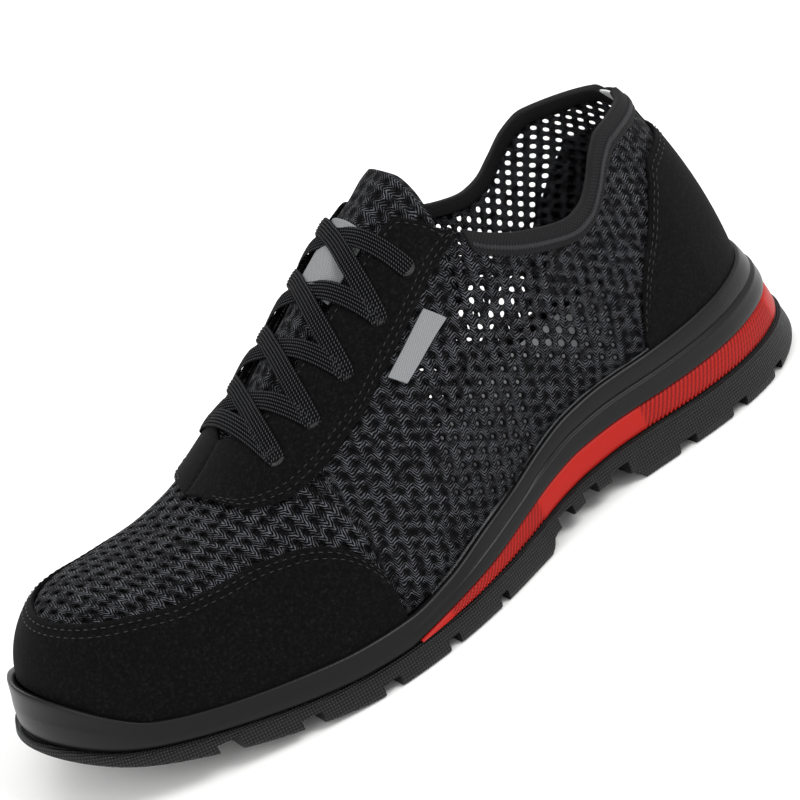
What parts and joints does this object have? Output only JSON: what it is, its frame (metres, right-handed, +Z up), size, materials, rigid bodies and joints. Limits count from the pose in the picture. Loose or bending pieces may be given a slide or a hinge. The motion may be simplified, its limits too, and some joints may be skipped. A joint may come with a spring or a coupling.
{
  "type": "safety sneaker",
  "caption": "Low-cut lace-up safety sneaker with a hollow knit upper, suede toe cap, padded collar, tongue, and a layered sole with a heel and tread grooves.",
  "frame": {"origin": "on the floor, under the middle of the sole's length and width", "axes": "-X towards the toe, +X towards the heel, -Y towards the lateral side, +Z up"},
  "size_m": [0.2998, 0.11, 0.1233],
  "materials": {
    "outsole_rubber": "matt black rubber, fine diamond texture on the sides of the lugs",
    "stripe_red_rubber": "satin red moulded rubber with fine ribs",
    "midsole_black_rubber": "satin black moulded rubber",
    "insole_fabric": "black woven lining",
    "upper_knit_mesh": "black open knit mesh",
    "overlay_suede": "black suede with a short nap",
    "collar_webbing": "dark woven binding over padding",
    "label_grey_fabric": "grey woven label, blank",
    "eyelet_black_metal": "black lacquered metal",
    "lace_woven": "flat woven black lace"
  },
  "bodies": {
    "root": {"outsole": "outsole_rubber", "midsole_stripe": "stripe_red_rubber", "midsole": "midsole_black_rubber", "insole": "insole_fabric", "upper": "upper_knit_mesh", "toe_cap": "overlay_suede", "heel_counter": "overlay_suede", "eyestay": "overlay_suede", "collar_binding": "collar_webbing", "tongue": "upper_knit_mesh", "tongue_label": "label_grey_fabric", "side_tag": "label_grey_fabric", "eyelet_lateral_1": "eyelet_black_metal", "eyelet_lateral_2": "eyelet_black_metal", "eyelet_lateral_3": "eyelet_black_metal", "eyelet_lateral_4": "eyelet_black_metal", "eyelet_lateral_5": "eyelet_black_metal", "eyelet_medial_1": "eyelet_black_metal", "eyelet_medial_2": "eyelet_black_metal", "eyelet_medial_3": "eyelet_black_metal", "eyelet_medial_4": "eyelet_black_metal", "eyelet_medial_5": "eyelet_black_metal", "laces": "lace_woven"}
  },
  "joints": []
}
